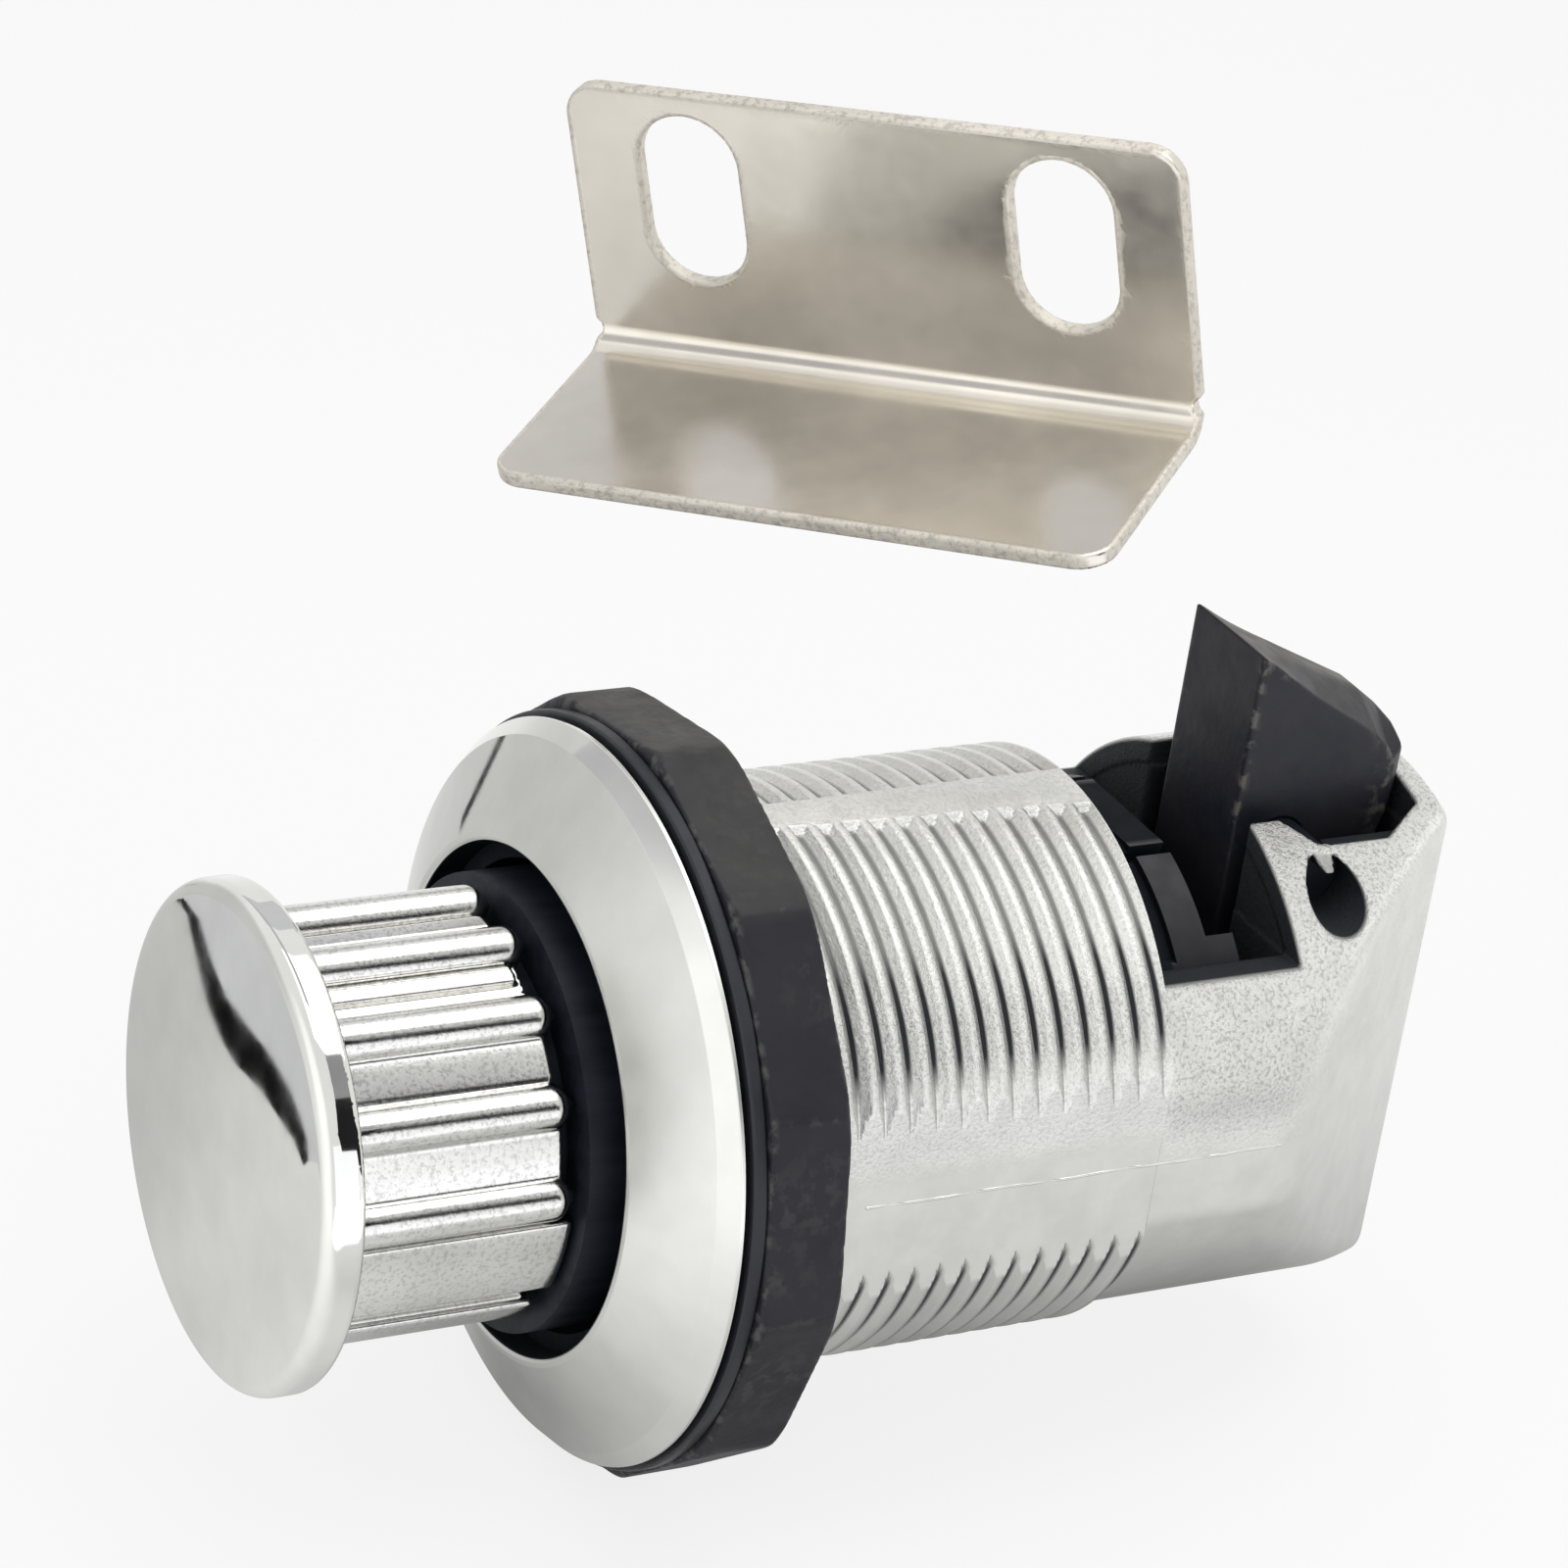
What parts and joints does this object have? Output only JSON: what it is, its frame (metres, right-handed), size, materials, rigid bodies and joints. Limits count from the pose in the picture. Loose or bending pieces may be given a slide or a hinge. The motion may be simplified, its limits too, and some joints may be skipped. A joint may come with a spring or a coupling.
{
  "type": "push button cabinet lock",
  "caption": "Push button cabinet lock: chromed knob in a bezel, threaded barrel with ring nut and washer, sprung black tongue, and a bent strike plate with slots.",
  "frame": {"origin": "on the barrel's axis, in the plane where the bezel's rear face meets the panel", "axes": "+X along the barrel from the knob to the tail; +Z towards the side that the tongue stands out of"},
  "size_m": [0.0612, 0.0483, 0.0618],
  "materials": {
    "chrome": "polished",
    "cast_zinc": "plated casting",
    "black_plastic": "moulded",
    "black_nut": "moulded",
    "tongue_black": "satin",
    "steel": "bright wire and turned steel",
    "strike_nickel": "brushed nickel"
  },
  "bodies": {
    "root": {"barrel_housing": "cast_zinc", "bezel": "chrome", "guide_sleeve": "black_plastic", "sleeve_pin": "steel", "spring_seat": "steel", "return_spring": "steel", "follower_spring": "steel", "pivot_pin": "steel", "tongue_spring": "steel", "strike_plate": "strike_nickel"},
    "button": {"knob": "chrome", "knob_screw": "steel", "screw_washer": "steel", "plunger": "black_plastic", "locking_bar": "steel", "heart_cam": "steel"},
    "follower": {"cam_follower": "steel"},
    "latch": {"tongue": "tongue_black"},
    "washer_body": {"washer": "black_plastic"},
    "nut_body": {"lock_nut": "black_nut"}
  },
  "joints": [
    {"name": "knob_slide", "type": "slide", "parent": "root", "child": "button", "axis": [1, 0, 0], "range_m": [0, 0.0125], "stiffness_N_per_m": 150, "springref_m": -0.012, "deforming": ["return_spring"]},
    {"name": "follower_swing", "type": "hinge", "parent": "root", "child": "follower", "pos_m": [0.0254, 0, -0.0095], "axis": [0, 0, -1], "range_deg": [0, 4.52]},
    {"name": "tongue_swing", "type": "hinge", "parent": "root", "child": "latch", "pos_m": [0.0351, 0, 0.0104], "axis": [0, -1, 0], "range_deg": [0, 52], "stiffness_Nm_per_rad": 0.02, "springref_deg": -20.05, "deforming": ["tongue_spring"]},
    {"name": "washer_slide", "type": "slide", "parent": "root", "child": "washer_body", "axis": [1, 0, 0], "range_m": [0, 0.0151]},
    {"name": "nut_spin", "type": "hinge", "parent": "washer_body", "child": "nut_body", "pos_m": [0.003, 0, 0], "axis": [1, 0, 0], "range_deg": [0, 4320]}
  ],
  "couplings": [
    {"joint": "follower_swing", "follows": "knob_slide", "rad_per_m": 6.2401},
    {"joint": "washer_slide", "follows": "nut_spin", "m_per_rad": 0.00019894}
  ]
}
